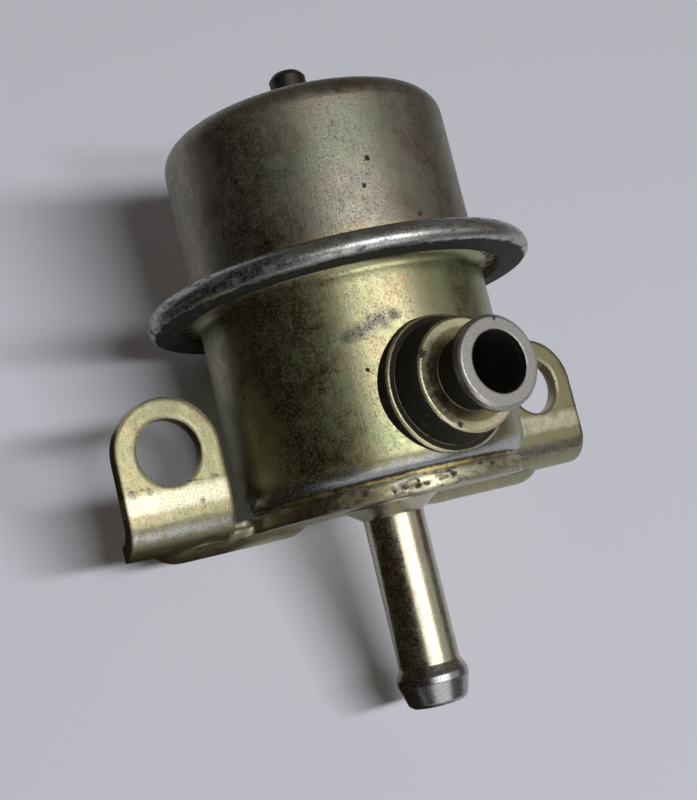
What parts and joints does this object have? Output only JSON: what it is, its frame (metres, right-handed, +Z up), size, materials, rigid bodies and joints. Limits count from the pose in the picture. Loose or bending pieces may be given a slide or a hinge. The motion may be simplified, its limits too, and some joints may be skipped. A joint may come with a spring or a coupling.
{
  "type": "fuel pressure regulator",
  "caption": "Return-type fuel pressure regulator: two crimped steel cups round a spring-loaded diaphragm valve, with inlet, return tube, vacuum nipple and eared bracket.",
  "frame": {"origin": "where the axis of the cups, the axis of the inlet and the bolt face of the two ears meet", "axes": "+Z up along the cups towards the vacuum nipple, -Y along the inlet away from the body, X from ear to ear"},
  "size_m": [0.07, 0.0549, 0.0856],
  "materials": {
    "upper_cup": "worn yellow zinc plating on drawn steel, dulled grey-olive",
    "lower_cup": "worn yellow zinc plating on drawn steel",
    "nipple": "dark stained steel",
    "connector": "turned steel, yellow zinc plating worn bare at the lip",
    "tube": "yellow zinc plating on drawn tube",
    "bracket": "bright yellow zinc plating on stamped sheet",
    "valve_steel": "turned and pressed steel",
    "ball": "ground bearing steel",
    "spring": "oiled spring wire",
    "diaphragm": "rubber over woven fabric"
  },
  "bodies": {
    "housing": {"upper_housing": "upper_cup", "lower_housing": "lower_cup", "vacuum_nipple": "nipple", "inlet_connector": "connector", "return_tube": "tube", "mounting_bracket": "bracket", "valve_seat": "valve_steel", "diaphragm": "diaphragm", "main_spring": "spring"},
    "valve_carrier": {"valve_ball": "ball", "ball_retainer": "valve_steel", "ball_spring": "spring", "valve_holder": "valve_steel", "diaphragm_washer": "valve_steel", "spring_plate": "valve_steel"}
  },
  "joints": [
    {"name": "valve_lift", "type": "slide", "parent": "housing", "child": "valve_carrier", "axis": [0, 0, 1], "range_m": [0, 0.0012], "stiffness_N_per_m": 8200, "springref_m": -0.0226, "deforming": ["main_spring", "diaphragm"]}
  ]
}
